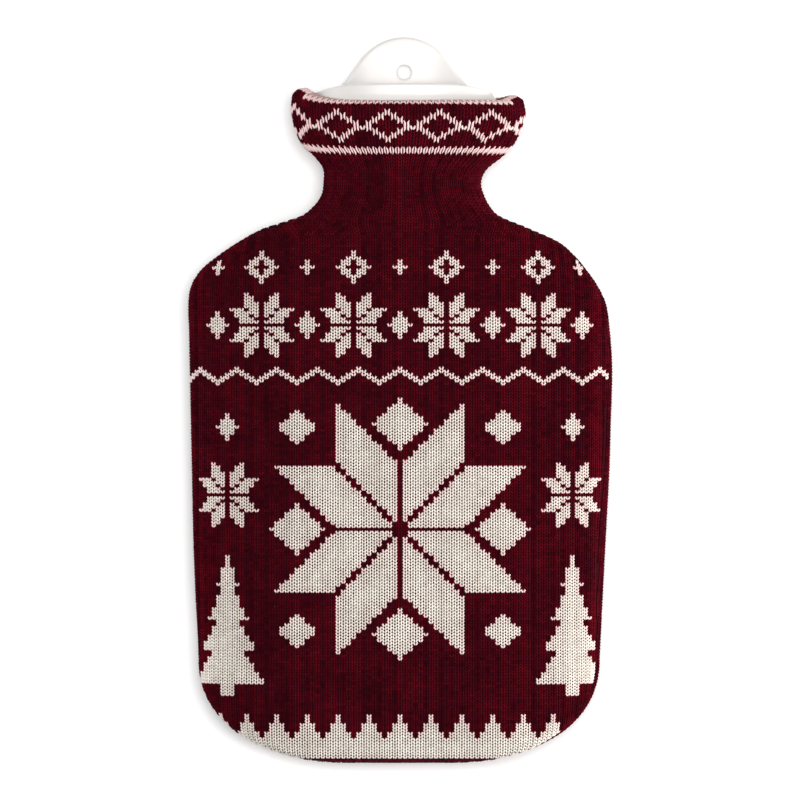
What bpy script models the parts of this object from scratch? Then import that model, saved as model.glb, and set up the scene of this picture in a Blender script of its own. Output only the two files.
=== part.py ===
"""A flat rubber hot water bottle in its knitted cover, lying on its back.

Metres, +Z up out of the front of the cover, +Y towards the mouth of the bottle.
The origin is on the surface it lies on, under the middle of its box.
Heights in the tables are millimetres up the object from its bottom seam.
"""

from collections import namedtuple

import bmesh
import bpy
import numpy as np

MM = 0.001

# Overall sizes.
PART_LENGTH = 346.0        # bottom seam to the tip of the hanging tab
CLOTH = 1.8                # thickness of the knitted cloth
SEAM_GAP = 0.3             # between the edges of the two panels
BOTTLE_CLEARANCE = 0.5     # between the cloth and the bottle

# Bottom edge of the cover.
BOTTOM_FLAT = 22.0         # half the straight stretch of the bottom seam
CORNER_HEIGHT = 50.0       # height at which the bottom corners have rounded into the sides
CORNER_POWER = 2.2         # the bottom corners are a little squarer than an ellipse
RIM_ROUND = 7.0            # height over which the thin rim of the bottle rounds up from the seam
RIM_POWER = 2.0
SWELL_REACH = 75.0         # height over which the bottle swells from its rim to its full depth

# Shape of a section: the higher the power, the squarer it is.
SIDE_POWER = 3.2
FACE_POWER = 2.0
RIM_SQUARE = 11.0          # a thin rim is rounded more tightly, so its section is squarer by up to this
LENS_POWER = 2.4           # how the faces swell from the rim at the sides to the middle
BACK_LENS = 0.6            # the back, which lies flat, swells by this share of what the front does

# One row for each height of the cover. Half-widths run from the centre line to the left and right
# edges, depths from the middle plane to the front and back, "seam" from the right edge in to the seam.
# "rim" is the share of the depth that the rim has. The last two are worked out for rows near the bottom.
Section = namedtuple(
    "Section", "height left right front back middle seam rim rounded swollen", defaults=(1.0, 1.0)
)
COVER_SECTIONS = (
    Section(50.0, 96.2, 95.2, 23.6, 22.0, 20.0, 1.6, 0.42),
    Section(100.0, 98.6, 97.6, 24.5, 22.5, 20.0, 3.2, 0.42),
    Section(156.0, 99.7, 100.4, 24.4, 22.5, 20.0, 2.4, 0.42),
    Section(206.0, 100.8, 100.0, 23.8, 22.3, 20.0, 0.7, 0.42),
    Section(220.0, 101.0, 97.8, 23.0, 21.6, 20.0, 0.6, 0.43),
    Section(228.0, 99.5, 93.8, 21.8, 20.4, 20.1, 0.6, 0.46),
    Section(235.0, 94.8, 88.7, 20.4, 18.9, 20.2, 0.7, 0.52),
    Section(242.0, 86.3, 82.8, 18.9, 17.5, 20.3, 0.8, 0.58),
    Section(249.0, 75.8, 74.3, 17.5, 16.4, 20.5, 0.9, 0.68),
    Section(255.0, 64.5, 60.7, 16.4, 15.6, 20.7, 1.0, 0.80),
    Section(261.0, 46.6, 46.6, 15.5, 15.0, 20.9, 1.0, 0.92),
    Section(265.0, 41.6, 43.0, 15.1, 14.7, 21.0, 1.0, 1.00),
    Section(270.0, 38.1, 40.4, 14.7, 14.3, 21.0, 1.0, 1.00),
    Section(276.0, 37.0, 38.9, 14.5, 14.1, 21.2, 1.0, 1.00),
    Section(283.0, 37.5, 41.9, 14.9, 14.5, 21.5, 1.0, 1.00),
    Section(288.0, 41.7, 48.0, 16.0, 15.6, 21.6, 1.0, 1.00),
    Section(293.0, 47.2, 53.0, 17.3, 16.9, 21.7, 1.0, 1.00),
    Section(299.0, 50.3, 56.6, 18.8, 18.5, 21.9, 1.0, 1.00),
    Section(305.0, 51.8, 59.1, 20.0, 19.8, 22.0, 1.0, 1.00),
    Section(311.0, 52.3, 60.0, 20.6, 20.4, 22.0, 1.0, 1.00),
    Section(314.2, 51.9, 59.4, 20.6, 20.4, 22.0, 1.0, 1.00),
)

# Rolled edge at the top of the cuff, with its rise and fall across the front.
ROLL_SIDE = 6.4            # how far the roll turns in at the sides
ROLL_FACE = 2.6            # how far it turns in on the front and back
ROLL_RISE = 3.0            # how far it stands above the last section in the middle
ROLL_RISE_ENDS = 5.2       # the same at the sides
ROLL_ANGLES = (25.0, 50.0, 75.0, 100.0, 118.0)
CUFF_START = 268.0         # height at which the courses begin to sag
CUFF_END = 318.0
CUFF_SAG = 2.3             # how far the edge hangs below its own height in the middle
CUFF_SMILE_LEFT = 4.5      # how far the left side stands above the middle
CUFF_SMILE_RIGHT = 1.0     # the same on the right
CUFF_STEEP_LEFT = 6.0      # the higher, the nearer to the side the edge turns up
CUFF_STEEP_RIGHT_FRONT = 20.0
CUFF_STEEP_RIGHT_BACK = 3.0

# Rows and columns of the cover's mesh.
BOTTOM_ROWS = 6
CORNER_ROWS = 6
SIDE_ROWS = 7
SHOULDER_ROWS = 12
CUFF_ROWS = 9
SHOULDER_START = 206.0
SHOULDER_END = 270.0
PANEL_COLUMNS = 22
EDGE_CROWDING = 0.6        # how far the columns crowd towards the round sides, 0 evenly to 1 fully
OUTLINE_STEPS = 720        # points on the fine section that the columns are read from

# The bottle's mouth: half-width about its own centre line, and half-depth.
MouthSection = namedtuple("MouthSection", "height half depth")
MOUTH_SECTIONS = (
    MouthSection(283.0, 36.8, 11.8),
    MouthSection(290.0, 40.2, 12.6),
    MouthSection(296.0, 44.0, 13.7),
    MouthSection(302.0, 46.4, 15.2),
    MouthSection(308.0, 47.0, 16.3),
    MouthSection(313.0, 45.6, 16.4),
    MouthSection(317.5, 42.2, 15.8),
)
THROAT_SECTIONS = (
    MouthSection(311.0, 37.0, 12.4),
    MouthSection(306.5, 24.0, 11.6),
    MouthSection(304.0, 13.0, 11.0),
    MouthSection(299.0, 10.5, 10.5),
)
MOUTH_CENTRE = 2.0         # the mouth sits this far to the right of the centre line
MOUTH_START = 296.0        # where the mouth meets the body of the bottle
MOUTH_GAP = 0.3
MOUTH_WALL = 2.8
MOUTH_COLUMNS = 88
MOUTH_POWER = 2.7
THROAT_POWER = 2.0
RIM_EDGE = 1.2             # height over which the rim is rounded
RIM_ROWS = 3
LIP_HEIGHT = 322.8         # top of the front lip
LIP_DROP = 3.6             # how far the lip falls towards its ends
TAB_RADIUS = 27.0          # round top of the tab
TAB_SLOPE = 1.45           # its flanks fall straight from where the round top is this steep
TAB_FLARE = 2.5            # how softly the flanks run out into the rim
HOLE_HEIGHT = 329.2
HOLE_RADIUS = 3.35
HOLE_SIDES = 24

# Body of the bottle, inside the cover: it takes every row of the cover's shoulders and every second
# row and column elsewhere.
NECK_TOP = 277.0           # above this the bottle leaves the cover and flares to its mouth
BOTTLE_STEP = 2

BURGUNDY = (0.085, 0.004, 0.012, 1.0)
WHITE_RUBBER = (0.86, 0.86, 0.85, 1.0)


def clear_scene():
    for thing in list(bpy.data.objects):
        bpy.data.objects.remove(thing, do_unlink=True)


def make_material(name, colour, roughness):
    material = bpy.data.materials.new(name)
    material.use_nodes = True
    shader = material.node_tree.nodes["Principled BSDF"]
    shader.inputs["Base Color"].default_value = colour
    shader.inputs["Roughness"].default_value = roughness
    shader.inputs["Metallic"].default_value = 0.0
    return material


def read_table(table, height):
    """Smooth cubic through each column of a table, read at one height."""
    heights = np.array([row.height for row in table])
    place = int(np.clip(np.searchsorted(heights, height) - 1, 0, len(heights) - 2))
    span = heights[place + 1] - heights[place]
    t = np.clip((height - heights[place]) / span, 0.0, 1.0)
    values = {}
    for name in table[0]._fields[1:]:
        column = np.array([getattr(row, name) for row in table])
        slopes = np.gradient(column, heights)
        start, end = column[place], column[place + 1]
        leave, arrive = slopes[place] * span, slopes[place + 1] * span
        values[name] = (
            start * (1 + 2 * t) * (1 - t) ** 2
            + leave * t * (1 - t) ** 2
            + end * t * t * (3 - 2 * t)
            - arrive * t * t * (1 - t)
        )
    return type(table[0])(height=height, **values)


def quarter_round(height, reach, power):
    """Rises from 0 to 1 over the reach, along a quarter of an ellipse or a squarer curve."""
    left_over = 1.0 - min(height / reach, 1.0)
    return float((1.0 - left_over ** power) ** (1.0 / power))


def cover_section(height):
    """Section of the cover at a height, with the round bottom worked in."""
    row = read_table(COVER_SECTIONS, max(height, CORNER_HEIGHT))
    corner = quarter_round(height, CORNER_HEIGHT, CORNER_POWER)
    return Section(
        height=height,
        left=BOTTOM_FLAT + (row.left - BOTTOM_FLAT) * corner,
        right=BOTTOM_FLAT + (row.right - BOTTOM_FLAT) * corner,
        front=row.front,
        back=row.back,
        middle=row.middle,
        seam=row.seam * corner,
        rim=row.rim,
        rounded=quarter_round(height, RIM_ROUND, RIM_POWER),
        swollen=1.0 - (1.0 - min(height / SWELL_REACH, 1.0)) ** 2,
    )


def rolled_section(degrees):
    """Section along the rolled edge of the cuff, past the last height of the table."""
    top = COVER_SECTIONS[-1]
    turned = 1.0 - np.cos(np.radians(degrees))
    return Section(
        height=top.height + ROLL_RISE * np.sin(np.radians(degrees)),
        left=top.left - ROLL_SIDE * turned,
        right=top.right - ROLL_SIDE * turned,
        front=top.front - ROLL_FACE * turned,
        back=top.back - ROLL_FACE * turned,
        middle=top.middle,
        seam=top.seam,
        rim=top.rim,
    )


def cover_sections():
    """All rows of the cover, from the bottom seam to the rolled edge."""
    rim = RIM_ROUND * (1 - np.cos(np.linspace(0, np.pi / 2, BOTTOM_ROWS + 1)))
    corner = np.linspace(RIM_ROUND, CORNER_HEIGHT, CORNER_ROWS + 1)[1:]
    side = np.linspace(CORNER_HEIGHT, SHOULDER_START, SIDE_ROWS + 1)[1:]
    shoulder = np.linspace(SHOULDER_START, SHOULDER_END, SHOULDER_ROWS + 1)[1:]
    cuff = np.linspace(SHOULDER_END, COVER_SECTIONS[-1].height, CUFF_ROWS + 1)[1:]
    heights = np.concatenate([rim, corner, side, shoulder, cuff])
    return [cover_section(h) for h in heights] + [rolled_section(a) for a in ROLL_ANGLES]


def cuff_lift(x, deep, section):
    """How far a point of the cuff stands above the nominal height of its row."""
    t = np.clip((section.height - CUFF_START) / (CUFF_END - CUFF_START), 0.0, 1.0)
    half = np.where(x > 0, section.right, section.left)
    steep_right = np.where(deep >= 0, CUFF_STEEP_RIGHT_FRONT, CUFF_STEEP_RIGHT_BACK)
    steep = np.where(x > 0, steep_right, CUFF_STEEP_LEFT)
    smile = np.where(x > 0, CUFF_SMILE_RIGHT, CUFF_SMILE_LEFT)
    upturn = np.abs(x / half) ** steep
    rolled = max(section.height - COVER_SECTIONS[-1].height, 0.0) / ROLL_RISE
    lift = t * t * (3 - 2 * t) * (smile * upturn - CUFF_SAG)
    return lift + rolled * (ROLL_RISE_ENDS - ROLL_RISE) * upturn


def superellipse(angles, power):
    across = np.cos(angles)
    return np.sign(across) * np.abs(across) ** (2 / power)


def lens_share(across, deep, section):
    """Share of the full depth that a section has at each point: a thin rim that swells to the middle."""
    rim = np.where(deep > 0, section.rim, 1.0 - BACK_LENS * (1.0 - section.rim))
    swell = section.swollen * (1.0 - np.abs(across) ** LENS_POWER)
    return rim * section.rounded + (1.0 - rim) * swell


def cover_outline(section, angles):
    """Points on the outside of the cover round one section, 0 at the right, a quarter turn at the front."""
    across = superellipse(angles, SIDE_POWER)
    square = SIDE_POWER + RIM_SQUARE * (1.0 - section.rim)
    deep = np.sign(np.sin(angles)) * (1.0 - np.abs(across) ** square) ** (1 / FACE_POWER)
    x = across * np.where(across > 0, section.right, section.left)
    full = np.where(deep > 0, section.front, section.back) * lens_share(across, deep, section)
    z = section.middle + deep * full
    y = section.height + cuff_lift(x, deep, section) - PART_LENGTH / 2
    return np.stack([x, y, np.maximum(z, 0.0)], axis=-1)


def fine_cover():
    """The whole outside of the cover: for each row its section, angles, points and normals."""
    sections = cover_sections()
    angles = np.linspace(0, 2 * np.pi, OUTLINE_STEPS + 1)
    points = np.stack([cover_outline(section, angles) for section in sections])
    around = np.empty_like(points)
    around[:, 1:-1] = points[:, 2:] - points[:, :-2]
    around[:, 0] = around[:, -1] = points[:, 1] - points[:, -2]
    normals = np.cross(np.gradient(points, axis=0), around)
    normals[0] = (0.0, -1.0, 0.0)    # the bottom seam faces straight down the object
    normals /= np.linalg.norm(normals, axis=-1, keepdims=True)
    return [(section, angles, *row) for section, *row in zip(sections, points, normals)]


def distances(outline):
    steps = np.linalg.norm(np.diff(outline, axis=0), axis=-1)
    return np.concatenate([[0.0], np.cumsum(steps)])


def read_along(outline, carried, places):
    """Values carried by an outline, read at distances along it."""
    along = distances(outline)
    return np.stack([np.interp(places, along, carried[:, i]) for i in range(3)], axis=-1)


def column_places(section, angles, outline, front, edge):
    """Distances along an outline of the columns of one panel, from its first seam to its second."""
    along = distances(outline)
    inside = 1.0 - section.seam / section.right
    right = np.interp(np.arccos(inside ** (SIDE_POWER / 2)), angles, along)
    left = np.interp(np.pi, angles, along)
    start, end = (right, left) if front else (left, along[-1] + right)
    even = np.linspace(0.0, 1.0, PANEL_COLUMNS + 1)
    crowded = 0.5 - 0.5 * np.cos(np.pi * even)
    share = even + EDGE_CROWDING * (crowded - even)
    return start + edge + (end - start - 2 * edge) * share


def read_columns(outline, normal, places):
    """Points and normals at distances along a closed outline, which may run past its start."""
    doubled = np.concatenate([outline, outline[1:]])
    carried = np.concatenate([normal, normal[1:]])
    facing = read_along(doubled, carried, places)
    facing /= np.linalg.norm(facing, axis=-1, keepdims=True)
    return read_along(doubled, doubled, places), facing


def panel_grids(front):
    """Outer and inner grids of points of one panel."""
    outer, inner = [], []
    edge = SEAM_GAP / 2
    for section, angles, outline, normal in fine_cover():
        places = column_places(section, angles, outline, front, edge)
        place, facing = read_columns(outline, normal, places)
        if section.height == 0.0:
            place[:, 2] += edge if front else -edge
        outer.append(place)
        inner.append(place - CLOTH * facing)
    return np.array(outer), np.array(inner)


def add_grid(mesh, grid):
    return [[mesh.verts.new(point * MM) for point in row] for row in grid]


def bridge_rows(mesh, rows, closed=False):
    """Quads between rows of vertices; a closed grid joins its last column to its first."""
    for lower, upper in zip(rows[:-1], rows[1:]):
        count = len(lower)
        for i in range(count if closed else count - 1):
            j = (i + 1) % count
            mesh.faces.new((lower[i], lower[j], upper[j], upper[i]))


def finish(mesh, name, material):
    """Turns a closed bmesh into a smooth-shaded object with its faces out."""
    bmesh.ops.recalc_face_normals(mesh, faces=mesh.faces)
    data = bpy.data.meshes.new(name)
    mesh.to_mesh(data)
    mesh.free()
    data.materials.append(material)
    data.shade_smooth()
    data.set_sharp_from_angle(angle=np.radians(50))
    piece = bpy.data.objects.new(name, data)
    bpy.context.scene.collection.objects.link(piece)
    return piece


def make_panel(name, front, material):
    """One knitted panel: a sheet with an outer and an inner face, closed round its edges."""
    outer_grid, inner_grid = panel_grids(front)
    mesh = bmesh.new()
    outer = add_grid(mesh, outer_grid)
    inner = add_grid(mesh, inner_grid)
    bridge_rows(mesh, outer)
    bridge_rows(mesh, inner)
    bridge_rows(mesh, [outer[0], inner[0]])
    bridge_rows(mesh, [outer[-1], inner[-1]])
    for side in (0, -1):
        bridge_rows(mesh, [[row[side] for row in outer], [row[side] for row in inner]])
    return finish(mesh, name, material)


def mouth_ring(row, power, columns):
    """Points round the mouth at one height, evenly spaced along it."""
    angles = np.linspace(0, 2 * np.pi, OUTLINE_STEPS + 1)
    x = MOUTH_CENTRE + row.half * superellipse(angles, power)
    z = cover_section(row.height).middle + row.depth * superellipse(angles - np.pi / 2, 2.0)
    y = np.full_like(x, row.height - PART_LENGTH / 2)
    outline = np.stack([x, y, z], axis=-1)
    length = np.linalg.norm(np.diff(outline, axis=0), axis=-1).sum()
    places = np.linspace(0, length, columns + 1)[:-1]
    return read_along(outline, outline, places)


def tab_height(across):
    """Outline of the hanging tab: a round top with straight flanks."""
    turn = TAB_RADIUS * TAB_SLOPE / np.hypot(1.0, TAB_SLOPE)
    inside = np.minimum(across, turn)
    drop = TAB_RADIUS - np.sqrt(TAB_RADIUS ** 2 - inside ** 2)
    return PART_LENGTH - drop - TAB_SLOPE * (across - inside)


def rim_heights(ring):
    """Top of the wall at each column: a low lip in front, the tab rising from it behind."""
    across = np.abs(ring[:, 0] - MOUTH_CENTRE)
    lip = LIP_HEIGHT - LIP_DROP * np.minimum(across / MOUTH_SECTIONS[-1].half, 1.0) ** 4
    tab = tab_height(across)
    behind = (lip + tab + np.hypot(lip - tab, TAB_FLARE)) / 2
    middle = cover_section(MOUTH_SECTIONS[-1].height).middle
    return np.where(ring[:, 2] > middle, lip, behind)


def raised(ring, heights):
    lifted = ring.copy()
    lifted[:, 1] = heights - PART_LENGTH / 2
    return lifted


def make_bottle_collar(material):
    """Mouth of the bottle: an oval funnel with a blind throat, whose back wall rises into the tab."""
    top = MOUTH_SECTIONS[-1]
    start = read_table(MOUTH_SECTIONS, MOUTH_START + MOUTH_GAP)
    lower = [row for row in MOUTH_SECTIONS if row.height > start.height]
    outside = [mouth_ring(row, MOUTH_POWER, MOUTH_COLUMNS) for row in [start] + lower]
    outer_rim = outside[-1]
    inner_top = MouthSection(top.height, top.half - MOUTH_WALL, top.depth - MOUTH_WALL)
    inner_rim = mouth_ring(inner_top, MOUTH_POWER, MOUTH_COLUMNS)
    heights = rim_heights(outer_rim)
    steps = [k / RIM_ROWS for k in range(1, RIM_ROWS + 1)]
    rises = [top.height + (heights - RIM_EDGE - top.height) * step for step in steps]
    outside += [raised(outer_rim, rise) for rise in rises]
    crest = [raised((outer_rim + inner_rim) / 2, heights)]
    inside = [raised(inner_rim, rise) for rise in reversed(rises)] + [inner_rim]
    powers = np.linspace(MOUTH_POWER, THROAT_POWER, len(THROAT_SECTIONS))
    throat = [mouth_ring(row, power, MOUTH_COLUMNS) for row, power in zip(THROAT_SECTIONS, powers)]

    mesh = bmesh.new()
    rings = add_grid(mesh, outside + crest + inside + throat)
    bridge_rows(mesh, rings, closed=True)
    mesh.faces.new(rings[0])
    mesh.faces.new(rings[-1])
    collar = finish(mesh, "bottle_collar", material)
    cut_tab_hole(collar)
    return collar


def cut_tab_hole(collar):
    """Round hanging hole through the tab, near its middle."""
    mesh = bmesh.new()
    reach = MOUTH_SECTIONS[-1].depth * 2
    bmesh.ops.create_cone(
        mesh,
        cap_ends=True,
        segments=HOLE_SIDES,
        radius1=HOLE_RADIUS * MM,
        radius2=HOLE_RADIUS * MM,
        depth=reach * MM,
    )
    data = bpy.data.meshes.new("tab_hole_cutter")
    mesh.to_mesh(data)
    mesh.free()
    cutter = bpy.data.objects.new("tab_hole_cutter", data)
    middle = cover_section(MOUTH_SECTIONS[-1].height).middle
    cutter.location = (
        MOUTH_CENTRE * MM,
        (HOLE_HEIGHT - PART_LENGTH / 2) * MM,
        (middle - MOUTH_SECTIONS[-1].depth) * MM,
    )
    cutter.hide_render = True
    cutter.display_type = "WIRE"
    bpy.context.scene.collection.objects.link(cutter)
    cut = collar.modifiers.new("tab_hole", "BOOLEAN")
    cut.operation = "DIFFERENCE"
    cut.object = cutter


def bottle_ring(section, angles, outline, normal):
    """The inside of the cover at one row, less the clearance, on every second column."""
    rings = []
    for front in (True, False):
        places = column_places(section, angles, outline, front, 0.0)[:-1:BOTTLE_STEP]
        place, facing = read_columns(outline, normal, places)
        rings.append(place - (CLOTH + BOTTLE_CLEARANCE) * facing)
    return np.concatenate(rings)


def make_bottle_body(material):
    """The filled bottle: the inside of the cover, then the neck flaring up to the mouth."""
    rows = [row for row in fine_cover() if row[0].height < NECK_TOP]
    plain = [row for row in rows if row[0].height < SHOULDER_START]
    shoulder = rows[len(plain):]
    grid = [bottle_ring(*row) for row in plain[::BOTTLE_STEP] + shoulder]
    for row in MOUTH_SECTIONS:
        if NECK_TOP < row.height <= MOUTH_START:
            grid.append(mouth_ring(row, MOUTH_POWER, PANEL_COLUMNS))

    mesh = bmesh.new()
    rings = add_grid(mesh, grid)
    bridge_rows(mesh, rings, closed=True)
    mesh.faces.new(rings[-1])
    close_bottom_line(mesh, rings[0])
    return finish(mesh, "bottle_body", material)


def close_bottom_line(mesh, ring):
    """The lowest ring lies flat on the bottom line, so its front and back points are merged."""
    count = len(ring)
    targets = {ring[count - i]: ring[i] for i in range(1, count // 2)}
    bmesh.ops.weld_verts(mesh, targetmap=targets)


def main():
    clear_scene()
    knit = make_material("burgundy knit", BURGUNDY, 0.9)
    rubber = make_material("white rubber", WHITE_RUBBER, 0.45)
    make_panel("cover_front", True, knit)
    make_panel("cover_back", False, knit)
    make_bottle_body(rubber)
    make_bottle_collar(rubber)


main()
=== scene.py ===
import bmesh
import bpy
import numpy as np
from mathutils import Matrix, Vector


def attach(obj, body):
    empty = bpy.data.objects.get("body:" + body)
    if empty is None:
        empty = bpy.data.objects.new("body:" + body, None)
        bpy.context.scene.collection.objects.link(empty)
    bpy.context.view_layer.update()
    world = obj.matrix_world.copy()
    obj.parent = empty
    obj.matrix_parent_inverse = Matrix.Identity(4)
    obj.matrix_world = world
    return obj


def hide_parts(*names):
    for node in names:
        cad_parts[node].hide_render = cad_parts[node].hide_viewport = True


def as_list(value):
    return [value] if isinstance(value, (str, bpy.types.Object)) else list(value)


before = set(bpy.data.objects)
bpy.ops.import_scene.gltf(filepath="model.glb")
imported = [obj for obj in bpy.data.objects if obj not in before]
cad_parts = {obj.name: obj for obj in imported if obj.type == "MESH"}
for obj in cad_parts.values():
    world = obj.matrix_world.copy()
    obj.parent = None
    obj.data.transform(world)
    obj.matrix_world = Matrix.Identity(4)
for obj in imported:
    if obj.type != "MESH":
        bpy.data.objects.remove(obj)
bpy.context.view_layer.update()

# Hot water bottle in its knitted cover, lying on its back.
# Sizes are in millimetres here and turned to metres where a mesh is made.
# x runs to the right, y towards the mouth, z up out of the front.
mm = 0.001
body = "root"
print("packed model loaded, nodes:", ", ".join(sorted(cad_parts)))


def addObject(name, data):
    piece = bpy.data.objects.new(name, data)
    bpy.context.scene.collection.objects.link(piece)
    return piece


def makeObject(name, data, material):
    data.materials.clear()
    data.materials.append(material)
    return addObject(name, data)


def finishMesh(mesh, name, material, sharp):  # outward faces, smooth but for its sharp edges
    bmesh.ops.recalc_face_normals(mesh, faces=mesh.faces)
    data = bpy.data.meshes.new(name)
    mesh.to_mesh(data)
    mesh.free()
    data.shade_smooth()
    data.set_sharp_from_angle(angle=np.radians(sharp))
    return makeObject(name, data, material)


def addLayer(data, name, kind, key, values):  # one value for each point of a mesh
    layer = data.attributes.new(name, kind, "POINT")
    layer.data.foreach_set(key, values.astype(np.float32).ravel())


def fade(values, start, end):  # rises smoothly from 0 at the start to 1 at the end
    t = np.clip((values - start) / (end - start), 0.0, 1.0)
    return t * t * (3 - 2 * t)


def readTable(table, heights):  # smooth cubic through every column of a table, first column is the height
    knots = table[:, 0]
    slopes = np.gradient(table, knots, axis=0)
    place = np.clip(np.searchsorted(knots, heights) - 1, 0, len(knots) - 2)
    span = (knots[place + 1] - knots[place])[:, None]
    t = np.clip((heights - knots[place])[:, None] / span, 0.0, 1.0)
    start, end = table[place], table[place + 1]
    leave, arrive = slopes[place] * span, slopes[place + 1] * span
    found = start * (1 + 2 * t) * (1 - t) ** 2 + leave * t * (1 - t) ** 2
    found += end * t * t * (3 - 2 * t) - arrive * t * t * (1 - t)
    return found[:, 1:].T


def superellipse(turns, power):
    across = np.cos(turns)
    return np.sign(across) * np.abs(across) ** (2 / power)


def bridge(mesh, lower, upper, closed=False):  # quads between two rows of points
    count = len(lower)
    for i in range(count if closed else count - 1):
        j = (i + 1) % count
        mesh.faces.new((lower[i], lower[j], upper[j], upper[i]))


def meshFromGrid(mesh, grid, closed=False):
    rows = [[mesh.verts.new(Vector(point) * mm) for point in row] for row in grid]
    for lower, upper in zip(rows[:-1], rows[1:]):
        bridge(mesh, lower, upper, closed)
    return rows


coverShape = {
    "length": 346.0,  # bottom seam to the tip of the tab
    "cloth": 1.8,  # whole thickness of the knit
    "bottomFlat": 22.0,  # half the straight stretch of the bottom seam
    "cornerHeight": 50.0,
    "cornerPower": 2.2,
    "rimRound": 7.0,  # the thin rim of the bottle rounds up from the bottom seam
    "swellReach": 75.0,  # and the bottle swells from it to its full depth
    "sidePower": 3.2,
    "rimSquare": 11.0,  # a thin rim is rounded more tightly, so its section is squarer
    "lensPower": 2.4,
    "backLens": 0.6,  # the back lies flat and swells less
    "rollSide": 6.4,  # how far the rolled edge turns in, at the sides and on the faces
    "rollFace": 2.6,
    "rollRise": 3.0,  # how far it stands up, in the middle and at the sides
    "rollRiseEnds": 5.2,
    "rollTurn": 118.0,
    "cuffLift": (268.0, 318.0),  # heights between which the cuff takes up its wavy edge
    "sag": 2.3,  # edge of the cuff: down in the middle, up at the sides, more so on the left
    "smile": (4.5, 1.0),  # left, right
    "steep": (6.0, 20.0, 6.0, 3.0),  # front left, front right, back left, back right
    "wobble": 0.22,  # how uneven the cloth lies
    "waveAcross": (13.0, 23.0),  # and the waves in which it does
    "waveUp": (19.0, 27.0),
    "waveDrift": (1.3, 0.8),
    "grooveDepth": 0.80,  # the panels dip towards the seam
    "grooveWidth": 1.4,
}

# height and share of the groove: it fades out where the bottle fills the base of the neck
grooveTable = [
    (0.0, 0.0), (3.0, 0.22), (6.0, 0.65), (10.0, 1.0),
    (225.0, 1.0), (238.0, 0.0), (264.0, 0.0), (276.0, 1.0),
]

# height, left, right, front, back, middle, seam from the right edge, the rim's share of the depth
coverTable = np.array([
    (50.0, 96.2, 95.2, 23.6, 22.0, 20.0, 1.6, 0.42),
    (100.0, 98.6, 97.6, 24.5, 22.5, 20.0, 3.2, 0.42),
    (156.0, 99.7, 100.4, 24.4, 22.5, 20.0, 2.4, 0.42),
    (206.0, 100.8, 100.0, 23.8, 22.3, 20.0, 0.7, 0.42),
    (220.0, 101.0, 97.8, 23.0, 21.6, 20.0, 0.6, 0.43),
    (228.0, 99.5, 93.8, 21.8, 20.4, 20.1, 0.6, 0.46),
    (235.0, 94.8, 88.7, 20.4, 18.9, 20.2, 0.7, 0.52),
    (242.0, 86.3, 82.8, 18.9, 17.5, 20.3, 0.8, 0.58),
    (249.0, 75.8, 74.3, 17.5, 16.4, 20.5, 0.9, 0.68),
    (255.0, 64.5, 60.7, 16.4, 15.6, 20.7, 1.0, 0.80),
    (261.0, 46.6, 46.6, 15.5, 15.0, 20.9, 1.0, 0.92),
    (265.0, 41.6, 43.0, 15.1, 14.7, 21.0, 1.0, 1.00),
    (270.0, 38.1, 40.4, 14.7, 14.3, 21.0, 1.0, 1.00),
    (276.0, 37.0, 38.9, 14.5, 14.1, 21.2, 1.0, 1.00),
    (283.0, 37.5, 41.9, 14.9, 14.5, 21.5, 1.0, 1.00),
    (288.0, 41.7, 48.0, 16.0, 15.6, 21.6, 1.0, 1.00),
    (293.0, 47.2, 53.0, 17.3, 16.9, 21.7, 1.0, 1.00),
    (299.0, 50.3, 56.6, 18.8, 18.5, 21.9, 1.0, 1.00),
    (305.0, 51.8, 59.1, 20.0, 19.8, 22.0, 1.0, 1.00),
    (311.0, 52.3, 60.0, 20.6, 20.4, 22.0, 1.0, 1.00),
    (314.2, 51.9, 59.4, 20.6, 20.4, 22.0, 1.0, 1.00),
])


fineGrid = {  # the cover is worked out this finely before it is knitted
    "rim": 70,  # rows round the bottom rim
    "body": 430,
    "roll": 25,
    "quarter": 150,  # points in each quarter of a row
}
edgeRow = fineGrid["rim"] + fineGrid["body"] - 1    # the row where the rolled edge begins


def quarterRound(heights, reach, power):  # rises from 0 to 1 over the reach
    left = 1.0 - np.minimum(heights / reach, 1.0)
    return (1.0 - left ** power) ** (1.0 / power)


def coverRows():  # every fine row of the cover: nominal height and its half-sizes
    shape = coverShape
    low = shape["rimRound"] * (1 - np.cos(np.linspace(0, np.pi / 2, fineGrid["rim"])))
    high = np.linspace(shape["rimRound"], coverTable[-1, 0], fineGrid["body"])[1:]
    heights = np.concatenate([low, high])
    found = readTable(coverTable, np.maximum(heights, shape["cornerHeight"]))
    left, right, front, back, middle, seam, rim = found
    corner = quarterRound(heights, shape["cornerHeight"], shape["cornerPower"])
    flat = shape["bottomFlat"]
    left = flat + (left - flat) * corner
    right = flat + (right - flat) * corner
    rounded = quarterRound(heights, shape["rimRound"], 2.0)
    swollen = 1.0 - (1.0 - np.minimum(heights / shape["swellReach"], 1.0)) ** 2
    turn = np.radians(np.linspace(0, shape["rollTurn"], fineGrid["roll"] + 1)[1:])  # the rolled edge
    side, face = shape["rollSide"], shape["rollFace"]
    rows = {"height": np.append(heights, heights[-1] + shape["rollRise"] * np.sin(turn))}
    for name, column, roll in (("left", left, side), ("right", right, side), ("front", front, face),
                               ("back", back, face), ("middle", middle, 0.0), ("seam", seam * corner, 0.0),
                               ("rim", rim, 0.0), ("rounded", rounded, 0.0), ("swollen", swollen, 0.0)):
        rows[name] = np.append(column, column[-1] - roll * (1 - np.cos(turn)))
    return {name: column[:, None] for name, column in rows.items()}


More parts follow.
